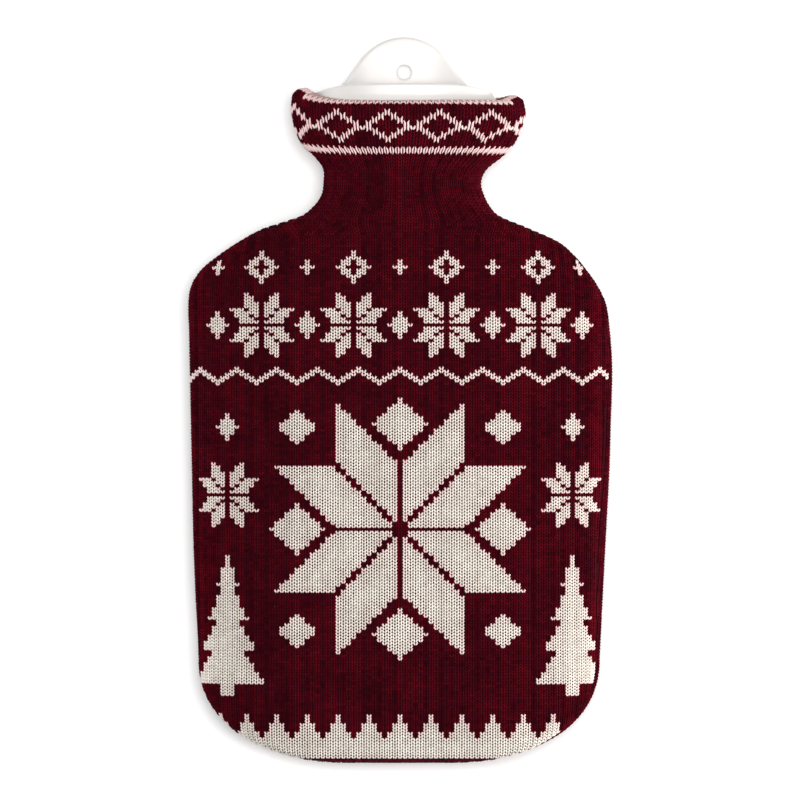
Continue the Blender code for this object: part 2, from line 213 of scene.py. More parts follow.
def coverSurface():  # fine grid of points and outward normals round the whole cover
    shape, rows = coverShape, coverRows()
    even = np.linspace(0, np.pi / 2, fineGrid["quarter"])
    flatter = np.arccos(np.linspace(1, 0, fineGrid["quarter"]) ** (shape["sidePower"] / 2))
    quarter = np.unique(np.round(np.concatenate([even, flatter]), 6))[:-1]
    mirrored = np.pi - quarter[:0:-1]
    half = np.concatenate([quarter, [np.pi / 2], mirrored])
    turns = np.concatenate([half, half + np.pi, [2 * np.pi]])[None, :]
    across = superellipse(turns, shape["sidePower"])
    square = shape["sidePower"] + shape["rimSquare"] * (1.0 - rows["rim"])
    deep = np.sign(np.sin(turns)) * np.sqrt(1.0 - np.abs(across) ** square)
    x = across * np.where(across > 0, rows["right"], rows["left"])
    rim = np.where(deep > 0, rows["rim"], 1.0 - shape["backLens"] * (1.0 - rows["rim"]))
    lens = 1.0 - np.abs(across) ** shape["lensPower"]
    share = rim * rows["rounded"] + (1.0 - rim) * rows["swollen"] * lens
    z = np.maximum(rows["middle"] + deep * share * np.where(deep > 0, rows["front"], rows["back"]), 0.0)
    isRight = (across > 0).astype(int)
    upturn = np.abs(across) ** np.array(shape["steep"])[isRight + 2 * (deep < 0)]
    lift = np.array(shape["smile"])[isRight] * upturn - shape["sag"]
    lift = lift * fade(rows["height"], *shape["cuffLift"])
    rolled = np.maximum(rows["height"] - coverTable[-1, 0], 0.0) / shape["rollRise"]
    lift = lift + rolled * (shape["rollRiseEnds"] - shape["rollRise"]) * upturn
    points = np.stack([x, rows["height"] + lift - shape["length"] / 2, z], axis=-1)
    around = np.empty_like(points)
    around[:, 1:-1] = points[:, 2:] - points[:, :-2]
    around[:, 0] = around[:, -1] = points[:, 1] - points[:, -2]
    normals = np.cross(np.gradient(points, axis=0), around)
    normals[0] = (0.0, -1.0, 0.0)
    normals /= np.linalg.norm(normals, axis=-1, keepdims=True)
    return rows, turns[0], points, normals


rows, turns, surface, outward = coverSurface()
heights = rows["height"][:, 0]
seamTurn = np.arccos((1 - rows["seam"][:, 0] / rows["right"][:, 0]) ** (coverShape["sidePower"] / 2))
print("cover surface:", surface.shape[0], "rows of", surface.shape[1], "points")


knitGauge = {
    "wale": 2.44,  # width of a stitch on the body
    "course": 1.46,  # height of a stitch
    "neckWales": 41,  # wales that run on up the neck and cuff
    "neckIn": (250.0, 270.0),  # heights between which the wales close in to the neck
    "rimRows": 1.6,  # courses are drawn out up to this much where the cloth turns round the bottom
    "rimLean": 0.45,  # and the stitches lean back up there
    "cuffRows": 0.26,  # courses are taller where the cuff is stretched
    "cuffRowsIn": (278.0, 292.0),  # from one height to the other
    "cuffMiddle": 303.2,  # height of the course that links the diamonds
    "cuffStretch": 0.06,  # legs run into each other a little more there
    "cuffStretchIn": (270.0, 295.0),
    "creamProud": 0.28,  # cream stitches of the cuff stand a little proud
    "cuffNarrow": 0.35,  # and are drawn narrower at its sides
    "narrowIn": (-0.85, -0.25),  # as the cloth turns away
    "widest": 50,  # wales to each side, more than any course holds
    "seamLeft": 0.42,  # wales between the last stitch's middle and the seam
    "seamRight": 0.62,
    "seamBeside": 0.3,  # a stitch dips as the seam does, from a little further in
    "courseLimits": (0.75, 2.2),  # how far a stitch may be drawn out
    "rimOut": (7.0, 19.0),  # heights between which the stitches of the rim change to the plain ones
    "flatten": (0.50, 0.97),  # tilts of the cloth between which they flatten there
    "lean": (0.0, 0.3),  # and between which they lean back up
    "leanLeast": 0.5,  # length a stitch keeps as it leans
}


def panelLines(front):  # for each fine row: distances along it, its centre and how far it is to each seam
    stretched = np.concatenate([surface, surface[:, 1:]], axis=1)
    facing = np.concatenate([outward, outward[:, 1:]], axis=1)
    steps = np.linalg.norm(np.diff(stretched, axis=1), axis=-1)
    along = np.concatenate([np.zeros((len(stretched), 1)), np.cumsum(steps, axis=1)], axis=1)
    allTurns = np.concatenate([turns, turns[1:] + 2 * np.pi])
    read = lambda turn: np.array([np.interp(t, allTurns, line) for t, line in zip(turn, along)])
    full = np.full(len(along), np.pi)
    if front:
        centre, right, left = read(full / 2), read(seamTurn), read(full)
    else:
        centre, right, left = read(full * 1.5), read(seamTurn + 2 * np.pi), read(full)
    return {
        "points": stretched, "facing": facing, "along": along, "centre": centre,
        "side": -1.0 if front else 1.0,
        "right": abs(right - centre), "left": abs(left - centre),
    }


def readLine(lines, row, places):  # points and normals of one fine row at distances from its centre
    at = lines["centre"][row] + lines["side"] * places
    along = lines["along"][row]
    point, normal = [np.stack([np.interp(at, along, grid[row, :, k]) for k in range(3)], axis=-1)
                     for grid in (lines["points"], lines["facing"])]
    return point, normal / np.linalg.norm(normal, axis=-1, keepdims=True)


def clothWobble(across, height):  # the cloth lies a little unevenly, never proud of its own surface
    wide, tall, drift = coverShape["waveAcross"], coverShape["waveUp"], coverShape["waveDrift"]
    first = np.sin(across / wide[0] + drift[0] * np.sin(height / tall[1]))
    second = np.sin(height / tall[0] + drift[1] * np.sin(across / wide[1]))
    return -coverShape["wobble"] * (1 + first * second) / 2


def seamDip(fromSeam, height):
    depth = coverShape["grooveDepth"] * np.interp(height, *zip(*grooveTable))
    return -depth * np.exp(-(np.maximum(fromSeam, 0) / coverShape["grooveWidth"]) ** 2)


def walePitch(lines):  # width of a wale on each fine row, left and right
    inNeck = fade(heights, *knitGauge["neckIn"])
    fitted = knitGauge["neckWales"] / 2
    blend = lambda reach: knitGauge["wale"] * (1 - inNeck) + reach / fitted * inNeck
    return blend(lines["left"]), blend(lines["right"])


def courseRows():  # fine-row numbers of the courses, counted up the middle of the front
    middle = np.argmin(abs(turns - np.pi / 2))
    moves = np.diff(surface[:, middle], axis=0)
    steps = np.linalg.norm(moves, axis=-1)
    inCuff = fade(heights[1:], *knitGauge["cuffRowsIn"])
    tall = knitGauge["course"] * (1 + knitGauge["cuffRows"] * inCuff)
    atRim = heights[1:] < 2 * coverShape["rimRound"]
    tall = tall * np.where(atRim, np.clip(steps / moves[:, 1], 1.0, knitGauge["rimRows"]), 1.0)
    climb = np.concatenate([[0.0], np.cumsum(steps / tall)])
    wanted = np.interp(knitGauge["cuffMiddle"], heights, climb) - 0.5
    size = (wanted + 0.5) / (round(wanted) + 0.5)
    count = int(climb[-1] / size)
    at = lambda shift: np.interp((np.arange(count) + 0.5 + shift) * size, climb, np.arange(len(climb)))
    return at, count, int(round(wanted))


# The two-colour pattern, worked stitch by stitch. Wales are counted from the middle of the panel,
# courses from the bottom edge as seen.
facePattern = {
    "anchor": (29.2, 20),  # height of this course of the chart, in millimetres
    "border": (2, 9),  # courses of the plain part of the border
    "teeth": [8, 5, 2, 0, 2, 5],
    "zigzag": (126, [2, 1, 0, -1, -2, -1, 0, 1]),
    "stars": [  # course, wales, reach and groove in millimetres
        (77, (0,), 30.0, 1.8),
        (88, (-34, 34), 8.4, 0.9),
        (143, (-27, -9, 9, 27), 8.4, 0.9),
    ],
    "diamonds": [  # course, wales, half-width in wales, half-height in courses
        (43, (0,), 5.4, 8.5),
        (44, (-20, 20), 3.6, 6.0),
        (77, (-20, 20), 5.4, 8.5),
        (110, (-20, 20), 3.6, 6.0),
        (110, (-34, 34), 2.6, 4.2),
        (111, (0,), 5.4, 8.5),
        (143, (-36, -18, 0, 18, 36), 2.2, 4.2),
        (162, (-36, -18, 0, 18, 36), 1.6, 2.4),
    ],
    "rings": [  # the same, with the half-sizes of the hole
        (162, (-27, -9, 9, 27), 3.6, 5.4, 1.6, 2.2),
    ],
    "trees": [  # foot's course, wales, half-width, height, tiers
        (27, (-34, 34), 7.5, 42, 4),
    ],
    "treeNotch": 0.45,  # how far a tier draws in
    "treeTip": 1.06,  # where its sides would meet, in heights of the tree
    "trunk": (4, 1),  # courses below the foot and wales to each side
    "starGap": 0.5,  # clear lines through the middle of a star, in millimetres
}

cuffPattern = {  # in courses above the middle of the chain of diamonds
    "repeat": 8,  # wales
    "shift": 6,
    "line": -6,
    "edge": 7,
    "faceEnds": -12,  # the pattern of the face stops below this
    "endLeft": 17,  # wales past which the edge is turned in further
    "endRight": 19,
}

courseAt, courseCount, cuffCourse = courseRows()
courseHeight = np.interp(courseAt(0), np.arange(len(heights)), heights)
anchorHeight, anchorCourse = facePattern["anchor"]
chartStart = int(round(np.interp(anchorHeight, courseHeight, np.arange(courseCount)))) - anchorCourse
print("courses:", courseCount, "cuff pattern about course", cuffCourse, "chart starts at", chartStart)


def starShape(i, j, petal, groove):  # eight-pointed star of the northern kind
    dx, dy = abs(i) * knitGauge["wale"], abs(j) * knitGauge["course"]
    far, near = np.maximum(dx, dy), np.minimum(dx, dy)
    return (near > facePattern["starGap"]) & (far - near > groove) & (near < petal) & (far - near < petal)


def diamondShape(i, j, wide, tall):
    return abs(i) / wide + abs(j) / tall < 1


def treeShape(i, j, half, tall, tiers):
    t = j / tall
    below, beside = facePattern["trunk"]
    edge = half * (facePattern["treeTip"] - t) * (1.0 - facePattern["treeNotch"] * ((t * tiers) % 1.0))
    return (t >= 0) & (t < 1) & (abs(i) < edge) | (t < 0) & (j >= -below) & (abs(i) <= beside)


def ringShape(i, j, wide, tall, holeWide, holeTall):
    return diamondShape(i, j, wide, tall) & ~diamondShape(i, j, holeWide, holeTall)


def faceChart(i, j):  # i counts wales, j courses
    first, last = facePattern["border"]
    teeth = np.array(facePattern["teeth"])
    middle, zigzag = facePattern["zigzag"]
    rise = j - middle - np.array(zigzag)[i % len(zigzag)]
    cream = (j >= first) & (j < last + teeth[i % len(teeth)]) | (rise >= 0) & (rise <= 1)
    shapes = {"stars": starShape, "diamonds": diamondShape, "rings": ringShape, "trees": treeShape}
    for kind, shape in shapes.items():
        for course, wales, *sizes in facePattern[kind]:
            for wale in wales:
                cream |= shape(i - wale, j - course, *sizes)
    return cream


def cuffChart(i, course):  # chain of diamonds above a plain line, round the cuff
    up = course - cuffCourse
    half = cuffPattern["repeat"] // 2
    across = abs((i + cuffPattern["shift"]) % cuffPattern["repeat"] - half)
    chain = (up > 0) & (across + up == half) | (up <= 0) & (across - up == half - 1)
    return chain | (up == cuffPattern["line"])


def cuffLink(i, course):  # one small stitch joins two diamonds
    return (course == cuffCourse) & ((i + cuffPattern["shift"]) % cuffPattern["repeat"] == 0)


def pastEdge(i, course):  # courses past the first cream one of the rolled edge
    turnedIn = (i <= -cuffPattern["endLeft"]) | (i >= cuffPattern["endRight"])
    return course - cuffCourse - cuffPattern["edge"] - turnedIn


def isCream(i, course, front):
    cuff = cuffChart(i, course) | cuffLink(i, course) | (pastEdge(i, course) >= 0)
    if not front:
        return cuff
    return cuff | faceChart(i, course - chartStart) & (course < cuffCourse + cuffPattern["faceEnds"])


def newMaterial(name):
    material = bpy.data.materials.new(name)
    material.use_nodes = True
    tree = material.node_tree
    return material, tree, tree.nodes["Principled BSDF"]


def feed(tree, node, inputs):  # links what comes from another node and sets the rest
    for key, value in inputs.items():
        if isinstance(value, bpy.types.NodeSocket):
            tree.links.new(value, node.inputs[key])
        else:
            node.inputs[key].default_value = value


def addNode(tree, kind, inputs={}, **settings):
    node = tree.nodes.new(kind)
    for key, value in settings.items():
        setattr(node, key, value)
    feed(tree, node, inputs)
    return node


def noiseAt(tree, coordinates, scale, detail=2.0):
    settings = {"Vector": coordinates, "Scale": scale, "Detail": detail}
    return addNode(tree, "ShaderNodeTexNoise", settings).outputs["Fac"]


def bandsAt(tree, coordinates, direction, scale, distortion):
    settings = {"Vector": coordinates, "Scale": scale, "Distortion": distortion}
    bands = addNode(tree, "ShaderNodeTexWave", settings, wave_type="BANDS", bands_direction=direction)
    return bands.outputs["Fac"]


def mathNode(tree, operation, a, b):
    return addNode(tree, "ShaderNodeMath", {0: a, 1: b}, operation=operation).outputs[0]


def mapRange(tree, value, low, high, toLow=0.0, toHigh=1.0):
    settings = {"Value": value, "From Min": low, "From Max": high, "To Min": toLow, "To Max": toHigh}
    return addNode(tree, "ShaderNodeMapRange", settings).outputs["Result"]


def mixColours(tree, factor, first, second):
    first, second = [(*colour, 1.0) if isinstance(colour, tuple) else colour for colour in (first, second)]
    return addNode(tree, "ShaderNodeMix", {0: factor, 6: first, 7: second}, data_type="RGBA").outputs[2]


def addBump(tree, height, strength, distance):
    settings = {"Height": height, "Strength": strength, "Distance": distance}
    return addNode(tree, "ShaderNodeBump", settings).outputs["Normal"]


def objectPlace(tree):
    return addNode(tree, "ShaderNodeTexCoord").outputs["Object"]


def valueOf(tree, name):
    return addNode(tree, "ShaderNodeAttribute", attribute_name=name).outputs["Fac"]


noiseMiddle = (0.3, 0.7)  # most of a noise lies between these

yarnLook = {
    "burgundy": {"dark": (0.026, 0.0008, 0.0034), "light": (0.128, 0.0030, 0.0088),
                 "fleck": (0.050, 0.0020, 0.0125), "paintedFlankShade": 0.55, "sheen": 0.01, "shine": 0.02},
    "cream": {"dark": (0.70, 0.645, 0.58), "light": (0.92, 0.875, 0.81),
              "fleck": (0.80, 0.74, 0.68), "paintedFlankShade": 0.0, "sheen": 0.06, "shine": 0.12},
    "shade": 0.42,  # how far these change the tone: the stitch's own shade,
    "fuzz": 0.55,  # the fuzz,
    "twist": 0.22,  # the twist of the yarn
    "patches": (0.32, 0.68, 0.08, 0.38),  # and soft patches
    "patchScale": 70.0,
    "fuzzScale": 3600.0,
    "toneRange": (0.25, 1.05),
    "flank": (0.375, 0.12, 0.34),  # middle of a leg round its section, and where painted shade darkens its flanks
    "fleckScale": 240.0,
    "flecks": (0.5, 0.72, 0.0, 0.4),
    "tinged": (0.92, 0.46, 0.53),  # cream beside burgundy picks up a little of its fluff
    "tingeMost": 0.5,
    "paintedRollShade": (0.30, 0.20, 0.155),  # painted shade: the rolled edge turns darker grey-brown as it rolls in under the lip
    "paintedRollShadeMost": 0.7,
    "plies": 3.2 / 3,  # how closely the plies twist along one leg of a stitch
    "plyWaver": 0.6,
    "roughness": (0.80, 0.96),
    "sheenRoughness": 0.6,
    "plyHeight": 0.8,
    "bump": (0.45, 0.00012),
}


def makeYarn(name, look):  # plied yarn: each stitch has its own shade, with twist and fuzz, and painted shade on the flanks of burgundy legs and on the rolled edge
    material, tree, shader = newMaterial(name)
    place = objectPlace(tree)
    yarn = addNode(tree, "ShaderNodeUVMap", uv_map="yarnLie").outputs["UV"]
    parts = {
        "shade": valueOf(tree, "shade"),
        "fuzz": noiseAt(tree, place, yarnLook["fuzzScale"], 3.0),
        "twist": bandsAt(tree, yarn, "DIAGONAL", yarnLook["plies"], yarnLook["plyWaver"]),
    }
    tone = mapRange(tree, noiseAt(tree, place, yarnLook["patchScale"]), *yarnLook["patches"])
    for key, part in parts.items():
        tone = mathNode(tree, "ADD", tone, mathNode(tree, "MULTIPLY", part, yarnLook[key]))
    # painted shade: the flanks of each leg darken towards its sides, as where neighbouring legs shade them
    across = addNode(tree, "ShaderNodeSeparateXYZ", {0: yarn}).outputs["X"]
    top, inner, outer = yarnLook["flank"]
    flank = mathNode(tree, "ABSOLUTE", mathNode(tree, "SUBTRACT", across, top), 0.0)
    tone = mathNode(tree, "SUBTRACT", tone, mapRange(tree, flank, inner, outer, 0.0, look["paintedFlankShade"]))
    colour = mixColours(tree, mapRange(tree, tone, *yarnLook["toneRange"]), look["dark"], look["light"])
    flecks = mapRange(tree, noiseAt(tree, place, yarnLook["fleckScale"]), *yarnLook["flecks"])
    colour = mixColours(tree, flecks, colour, look["fleck"])
    # the tinge is fluff of the other yarn; the rolled edge's grey-brown is painted shade
    for key, most, stain in (("tinge", "tingeMost", "tinged"), ("paintedRollShade", "paintedRollShadeMost", "paintedRollShade")):
        share = mathNode(tree, "MULTIPLY", valueOf(tree, key), yarnLook[most])
        colour = mixColours(tree, share, colour, yarnLook[stain])
    height = mathNode(tree, "MULTIPLY", parts["twist"], yarnLook["plyHeight"])
    height = mathNode(tree, "ADD", height, parts["fuzz"])
    feed(tree, shader, {
        "Base Color": colour,
        "Roughness": mapRange(tree, parts["fuzz"], *noiseMiddle, *yarnLook["roughness"]),
        "Normal": addBump(tree, height, *yarnLook["bump"]),
        "Specular IOR Level": look["shine"],
        "Sheen Weight": look["sheen"],
        "Sheen Roughness": yarnLook["sheenRoughness"],
        "Sheen Tint": (*look["light"], 1.0),
    })
    return material


backingLook = {  # the purl side shows only between the stitches and inside the cuff, coloured darker than the yarn as painted shade in the gaps
    "shadedRedBack": ((0.012, 0.0004, 0.0015), (0.045, 0.0012, 0.005)),
    "shadedCreamFloats": ((0.060, 0.048, 0.038), (0.17, 0.145, 0.12)),  # floats of the cream behind the cream, dark grey-brown as painted shade in the gaps
    "bands": 0.31416,  # one ridge for each course, one bump for each wale
    "waver": 0.8,
    "fuzzScale": 2600.0,
    "roughness": (0.85, 1.0),
    "bump": (0.6, 0.0004),
    "shine": 0.1,
}


def makeBacking():
    look = backingLook
    material, tree, shader = newMaterial("knit backing")
    cloth = addNode(tree, "ShaderNodeUVMap", uv_map="clothLie").outputs["UV"]
    ridges = bandsAt(tree, cloth, "Y", look["bands"], 0.0)
    bumps = bandsAt(tree, cloth, "X", look["bands"], look["waver"])
    fuzz = noiseAt(tree, objectPlace(tree), look["fuzzScale"], 3.0)
    relief = mathNode(tree, "ADD", mathNode(tree, "MULTIPLY", ridges, bumps), fuzz)
    # both purl colours are darker than their yarns: real purl side with painted shade between the stitches
    shadedRedBack, shadedCreamFloats = [mixColours(tree, relief, *look[key]) for key in ("shadedRedBack", "shadedCreamFloats")]
    feed(tree, shader, {
        "Base Color": mixColours(tree, valueOf(tree, "underCream"), shadedRedBack, shadedCreamFloats),
        "Roughness": mapRange(tree, fuzz, *noiseMiddle, *look["roughness"]),
        "Normal": addBump(tree, relief, *look["bump"]),
        "Specular IOR Level": look["shine"],
    })
    return material


rubberLook = {  # moulded white rubber with a satin skin
    "colour": (0.735, 0.715, 0.70),
    "stained": (0.70, 0.68, 0.66),
    "stains": (0.35, 0.7),
    "stainScale": 28.0,
    "skinScale": 1500.0,
    "roughness": (0.30, 0.42),
    "bump": (0.12, 0.00005),
    "shine": 0.5,
}


def makeRubber():
    look = rubberLook
    material, tree, shader = newMaterial("white rubber")
    place = objectPlace(tree)
    broad = noiseAt(tree, place, look["stainScale"], 3.0)
    stains = mapRange(tree, broad, *look["stains"])
    feed(tree, shader, {
        "Base Color": mixColours(tree, stains, look["colour"], look["stained"]),
        "Roughness": mapRange(tree, broad, *noiseMiddle, *look["roughness"]),
        "Normal": addBump(tree, noiseAt(tree, place, look["skinScale"]), *look["bump"]),
        "Specular IOR Level": look["shine"],
    })
    return material


burgundyYarn = makeYarn("burgundy yarn", yarnLook["burgundy"])
creamYarn = makeYarn("cream yarn", yarnLook["cream"])
backing = makeBacking()
rubber = makeRubber()
print("materials made")


backingSheet = {
    "depth": 0.74,  # of its outer face, below the outside of the knit
    "overlap": 0.25,  # past the seam line, so that nothing shows between the sheets
    "columns": 92,
    "crowding": 0.5,  # how far the columns crowd to the round sides
    "rowStep": 5,
    "rollStep": 3,
    "near": (2, 3),  # it takes the shaded cream-float colour where all stitches within these wales and courses are cream
    "sharp": 60.0,
}


def makeBackingSheet(name, lines, front):
    sheet = backingSheet
    rowCount = len(heights)
    rim, step = fineGrid["rim"], sheet["rowStep"]
    picked = np.unique(np.concatenate([
        np.arange(0, rim, step), np.arange(rim, edgeRow, step),
        np.arange(edgeRow, rowCount, sheet["rollStep"]), [rowCount - 1]]))
    even = np.linspace(-1.0, 1.0, sheet["columns"] + 1)
    share = even + sheet["crowding"] * (np.sin(np.pi / 2 * even) - even)
    leftPitch, rightPitch = walePitch(lines)
    courseOfRow = np.interp(np.arange(rowCount), courseAt(0), np.arange(courseCount))
    wales, courses = sheet["near"]
    outer, inner, under, lie = [], [], [], []
    for row in picked:
        reach = np.where(share > 0, lines["right"][row], lines["left"][row]) + sheet["overlap"]
        places = share * reach
        point, normal = readLine(lines, row, places)
        if row == 0:
            point[:, 2] -= sheet["overlap"] * (1 if front else -1)
        sink = clothWobble(places, heights[row])
        dip = seamDip(reach - abs(places), heights[row])
        outer.append(point + normal * (sink + dip - sheet["depth"])[:, None])
        inner.append(point + normal * (sink - coverShape["cloth"])[:, None])
        wale = places / np.where(places > 0, rightPitch[row], leftPitch[row])
        lie.append(np.stack([wale, np.full_like(wale, courseOfRow[row])], axis=-1))
        here, course = np.round(wale).astype(int), int(round(courseOfRow[row]))
        near = [isCream(here + a, np.full(len(wale), course + b), front)
                for a in range(-wales, wales + 1) for b in range(-courses, courses + 1)]
        under.append(np.all(near, axis=0))
    mesh = bmesh.new()
    first, second = meshFromGrid(mesh, outer), meshFromGrid(mesh, inner)
    edges = [(grid[0], grid[-1], [row[0] for row in grid], [row[-1] for row in grid])
             for grid in (first, second)]
    for upper, lower in zip(*edges):
        bridge(mesh, upper, lower)
    mesh.verts.index_update()
    piece = finishMesh(mesh, name, backing, sheet["sharp"])
    data = piece.data
    addLayer(data, "underCream", "FLOAT", "value", np.array([under, under]))
    corner = np.empty(len(data.loops), np.int32)
    data.loops.foreach_get("vertex_index", corner)
    flat = np.tile(np.array(lie, np.float32).reshape(-1, 2), (2, 1))
    data.uv_layers.new(name="clothLie").uv.foreach_set("vector", flat[corner].ravel())
    return piece


stitchShape = {
    "thick": 0.84,  # whole height of a leg
    "foot": 0.10,  # share of it below the round top
    "flattest": 0.45,  # share of it that is left where the cloth is drawn round the rim
    "fineLeg": [  # right-hand leg of the V, foot to head: across, up, half-width, height
        (0.24, -0.90, 0.0, 0.14),
        (0.40, -0.44, 0.42, 1.0),
        (0.87, 0.42, 0.43, 0.98),
        (0.64, 0.98, 0.0, 0.34),
    ],
    "fineSides": [(-1.0, 0.0), (-0.5, 0.92), (0.5, 0.92), (1.0, 0.0)],
    "plainLeg": [  # the back is worked with fewer faces
        (0.10, -0.92, 0.0, 0.42),
        (0.46, -0.44, 0.42, 1.0),
        (0.72, 0.72, 0.30, 0.60),
    ],
    "plainSides": [(-1.0, 0.0), (0.0, 1.0), (1.0, 0.0)],
    "cuffLeg": [  # the cream ones of the cuff are drawn out long, closest at the waist
        (0.86, -1.32, 0.24, 0.55),
        (0.58, -0.50, 0.37, 1.0),
        (0.58, 0.46, 0.37, 1.0),
        (0.90, 1.36, 0.24, 0.55),
    ],
    "evenSize": (1.0, 1.0, 0.95),
    "uneven": 0.04,  # how far stitches differ in size
    "turn": 0.035,  # and in turn, in radians
    "cellCorner": (0.04, 0.05),  # each leg's place on the map that colours are baked on
    "cellSize": (0.42, 0.90),
    "cellCap": (0.25, 0.08, 0.455, 0.035),  # a cap's middle and half-width, its start and height
    "lieCap": 0.2,  # how far round the yarn's map a cap reaches
}


def makeStitch(name, path, section):  # V of two plump legs, one wale wide and one course tall
    thick, foot = stitchShape["thick"], stitchShape["foot"]
    size = Vector((knitGauge["wale"], knitGauge["course"], thick))
    (cornerX, cornerY), (wideX, tallY) = stitchShape["cellCorner"], stitchShape["cellSize"]
    capX, capWide, capY, capTall = stitchShape["cellCap"]
    lieCap = stitchShape["lieCap"]
    mesh = bmesh.new()
    lie = mesh.loops.layers.uv.new("yarnLie")
    cell = mesh.loops.layers.uv.new("OFBake")
    count, last = len(section), len(path) - 1
    for side in (1, -1):
        rings = []
        for k, (across, up, wide, tall) in enumerate(path):
            before, after = path[max(k - 1, 0)], path[min(k + 1, last)]
            sideways = Vector((after[1] - before[1], before[0] - after[0])).normalized()
            ring = []
            for out, high in section if wide else section[:1]:
                x = across + sideways.x * out * wide
                y = up + sideways.y * out * wide
                z = thick * (foot + (tall - foot) * high) if wide else thick * tall
                ring.append(mesh.verts.new((side * x / size.x, y / size.y, z / size.z)))
            rings.append(ring)
        for k, (lower, upper) in enumerate(zip(rings[:-1], rings[1:])):
            for n in range(count):
                m = (n + 1) % count
                corners = [(lower[n % len(lower)], n, k), (lower[m % len(lower)], n + 1, k),
                           (upper[m % len(upper)], n + 1, k + 1), (upper[n % len(upper)], n, k + 1)]
                corners = [c for spot, c in enumerate(corners) if c[0] not in [d[0] for d in corners[:spot]]]
                face = mesh.faces.new([c[0] for c in corners])
                for loop, (vert, around, along) in zip(face.loops, corners):
                    loop[lie].uv = (around / count, along)
                    x, y = cornerX + wideX * around / count, cornerY + tallY * along / last
                    loop[cell].uv = (x if side > 0 else 1 - x, y)
            for corner in (0, -1):  # the flat underside meets the round top sharply
                edge = mesh.edges.get((lower[corner], upper[corner]))
                if edge:
                    edge.smooth = False
        for ring, end, beyond in ((rings[0], 0, -1), (rings[-1], last, 1)):
            if len(ring) > 1:
                cap = mesh.faces.new(ring)
                for loop, (out, high) in zip(cap.loops, section):
                    loop[lie].uv = (0.5 + lieCap * out, end + lieCap * beyond * high)
                    x = capX + capWide * out * side + capX * (1 - side)
                    loop[cell].uv = (x, 0.5 + beyond * (capY + capTall * high))
    bmesh.ops.recalc_face_normals(mesh, faces=mesh.faces)
    for face in mesh.faces:
        face.smooth = True
    bmesh.ops.triangulate(mesh, faces=mesh.faces)
    data = bpy.data.meshes.new(name)
    mesh.to_mesh(data)
    mesh.free()
    piece = addObject(name, data)
    piece.hide_render = True
    return piece


def buildStitchTree():  # sets one stitch on every point, turned to the cloth and scaled to its gauge
    tree = bpy.data.node_groups.new("knit stitches", "GeometryNodeTree")
    names = {}
    for name, kind in (("Points", "Geometry"), ("Stitch", "Object"), ("Sink", "Float"), ("Uneven", "Float"),
                       ("Turn", "Float"), ("Seed", "Int"), ("Yarn", "Material")):
        socket = tree.interface.new_socket(name=name, in_out="INPUT", socket_type="NodeSocket" + kind)
        names[name] = socket.identifier
    tree.interface.new_socket(name="Knit", in_out="OUTPUT", socket_type="NodeSocketGeometry")
    given = addNode(tree, "NodeGroupInput").outputs

    def made(kind, output, inputs, **settings):
        return addNode(tree, kind, inputs, **settings).outputs[output]

    def attribute(name):
        return made("GeometryNodeInputNamedAttribute", "Attribute", {"Name": name}, data_type="FLOAT_VECTOR")

    def vectors(operation, a, b):
        second = "Scale" if operation == "SCALE" else 1
        return made("ShaderNodeVectorMath", "Vector", {0: a, second: b}, operation=operation)

    def randomVector(seedStep):
        seed = mathNode(tree, "ADD", given["Seed"], seedStep)
        limits = {"Min": (-1.0, -1.0, -1.0), "Max": (1.0, 1.0, 1.0), "Seed": seed}
        return made("FunctionNodeRandomValue", "Value", limits, data_type="FLOAT_VECTOR")

    facing = attribute("facing")
    sunk = vectors("SCALE", facing, mathNode(tree, "MULTIPLY", given["Sink"], -1.0))
    moved = made("GeometryNodeSetPosition", "Geometry", {"Geometry": given["Points"], "Offset": sunk})
    upright = made("FunctionNodeAxesToRotation", "Rotation",
                   {"Primary Axis": facing, "Secondary Axis": attribute("rising")},
                   primary_axis="Z", secondary_axis="Y")
    lean = vectors("SCALE", randomVector(1), given["Turn"])
    turned = made("FunctionNodeRotateRotation", "Rotation", {"Rotation": upright, "Rotate By": lean},
                  rotation_space="LOCAL")
    stretch = vectors("SCALE", randomVector(2), given["Uneven"])
    sized = vectors("MULTIPLY", vectors("ADD", stretch, stitchShape["evenSize"]), attribute("gauge"))
    stitch = made("GeometryNodeObjectInfo", "Geometry", {"Object": given["Stitch"]})
    placed = made("GeometryNodeInstanceOnPoints", "Instances",
                  {"Points": moved, "Instance": stitch, "Rotation": turned, "Scale": sized})
    real = made("GeometryNodeRealizeInstances", "Geometry", {"Geometry": placed})
    dressed = made("GeometryNodeSetMaterial", "Geometry", {"Geometry": real, "Material": given["Yarn"]})
    addNode(tree, "NodeGroupOutput", {"Knit": dressed})
    return tree, names


